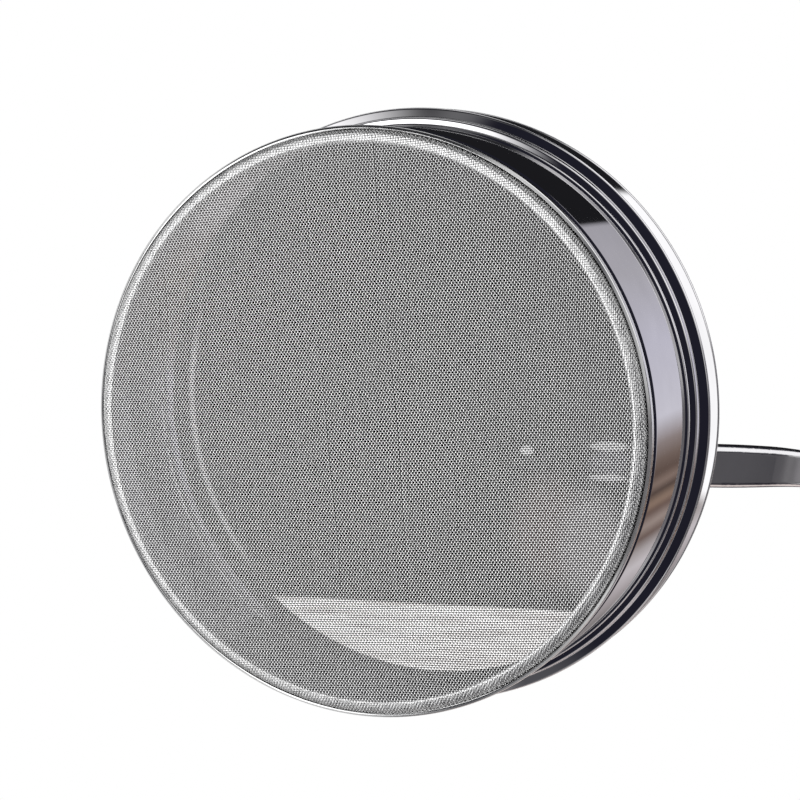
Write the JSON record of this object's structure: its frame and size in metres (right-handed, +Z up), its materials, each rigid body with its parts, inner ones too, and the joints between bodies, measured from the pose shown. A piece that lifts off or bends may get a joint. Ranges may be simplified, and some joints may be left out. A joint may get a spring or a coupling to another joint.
{
  "type": "soil sieve",
  "caption": "Round hand sieve with a woven wire screen, a polished stepped frame with a rolled rim, and an upswept strap handle.",
  "frame": {"origin": "centre of the screen's lower face, which the sieve rests on", "axes": "+Z up through the open rim, +X towards the handle"},
  "size_m": [0.2759, 0.1624, 0.105],
  "materials": {
    "polished_wall": "mirror-polished stainless steel with fine hairlines",
    "hoop_steel": "bright stainless steel, crimped along the flange",
    "clamp_steel": "polished stainless steel bead",
    "screen_wire": "drawn stainless wire, plain weave",
    "handle_steel": "polished pressed stainless steel",
    "weld_steel": "flattened spot welds, slightly heat-tinted"
  },
  "bodies": {
    "root": {"body_shell": "polished_wall", "rim_wire": "hoop_steel", "support_hoop": "hoop_steel", "mesh_screen": "screen_wire", "clamp_ring": "clamp_steel", "handle_doubler": "handle_steel", "handle_strap": "handle_steel", "handle_spot_welds": "weld_steel"}
  },
  "joints": []
}
